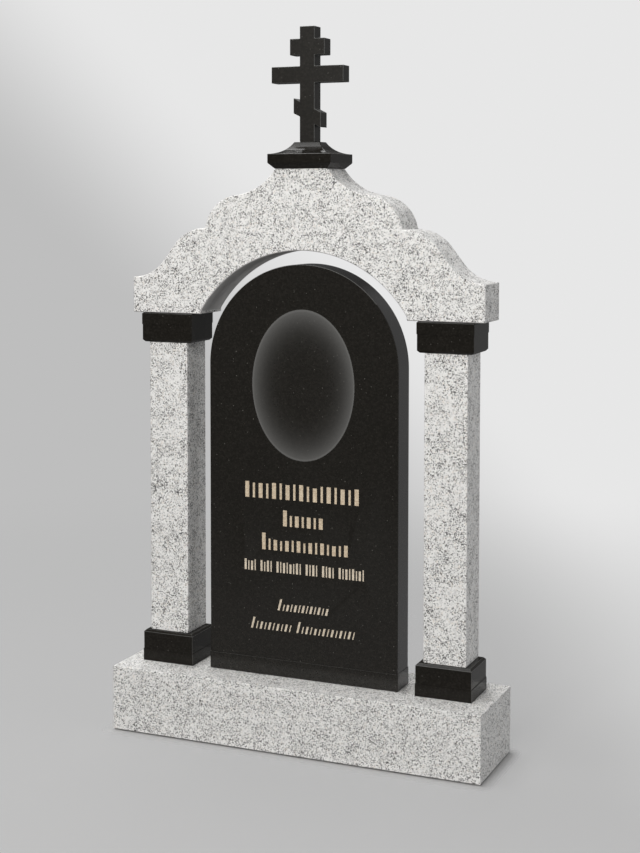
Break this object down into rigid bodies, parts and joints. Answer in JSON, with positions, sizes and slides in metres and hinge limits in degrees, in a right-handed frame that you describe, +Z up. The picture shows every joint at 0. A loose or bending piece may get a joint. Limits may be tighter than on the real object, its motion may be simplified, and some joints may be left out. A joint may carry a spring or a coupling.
{
  "type": "granite headstone",
  "caption": "Granite headstone: a round-headed black stele on a light plinth, under a scrolled arch lintel on square columns, topped by an eight-ended cross.",
  "frame": {"origin": "centre of the plinth's underside", "axes": "+Z up, +X to the right of someone facing the inscribed front, which faces -Y"},
  "size_m": [1, 0.254, 1.8219],
  "materials": {
    "light_granite": "honed light grey granite with small black flecks",
    "black_granite": "polished black granite"
  },
  "bodies": {
    "root": {"plinth": "light_granite", "left_column_base": "black_granite", "right_column_base": "black_granite", "left_column_shaft": "light_granite", "right_column_shaft": "light_granite", "left_capital": "black_granite", "right_capital": "black_granite", "stele": "black_granite", "arch_lintel": "light_granite", "cross_pedestal": "black_granite", "cross": "black_granite"}
  },
  "joints": []
}
